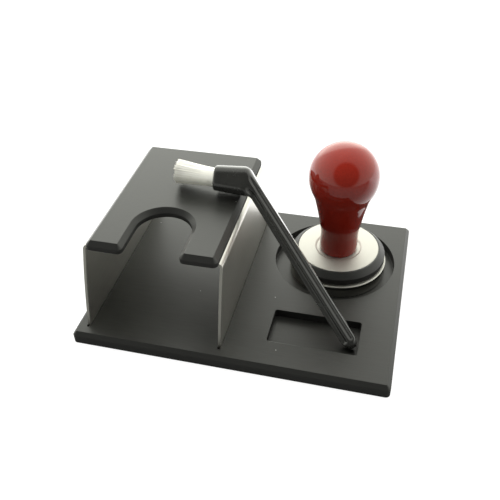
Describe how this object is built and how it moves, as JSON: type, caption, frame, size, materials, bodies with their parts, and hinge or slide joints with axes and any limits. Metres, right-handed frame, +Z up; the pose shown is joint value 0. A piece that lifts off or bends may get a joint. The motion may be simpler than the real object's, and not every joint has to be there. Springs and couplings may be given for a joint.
{
  "type": "espresso tamping station",
  "caption": "Rubber base mat with a folded steel bridge under a notched rubber pad, a round recess holding a round-handled tamper, a tray pocket and an angled cleaning brush.",
  "frame": {"origin": "centre of the mat's underside, on the surface the station stands on", "axes": "+X to the right along the mat's long front edge, +Y to the back, +Z up"},
  "size_m": [0.1764, 0.1386, 0.088],
  "materials": {
    "mat_rubber": "moulded black rubber with a fine streaked grain",
    "bridge_steel": "brushed stainless sheet with bright cut edges",
    "pad_rubber": "smooth black rubber",
    "tamper_steel": "turned stainless steel",
    "ring_black": "satin black",
    "stud_steel": "plain steel",
    "handle_red": "turned wood under dark red gloss lacquer",
    "brush_black": "glossy moulded black",
    "bristle_white": "off-white bristles"
  },
  "bodies": {
    "root": {"base_mat": "mat_rubber", "bridge_sheet": "bridge_steel", "bridge_pad": "pad_rubber", "tamper_base": "tamper_steel", "tamper_ring": "ring_black", "tamper_stud": "stud_steel", "tamper_handle": "handle_red", "brush_handle": "brush_black", "brush_bristles": "bristle_white"}
  },
  "joints": []
}
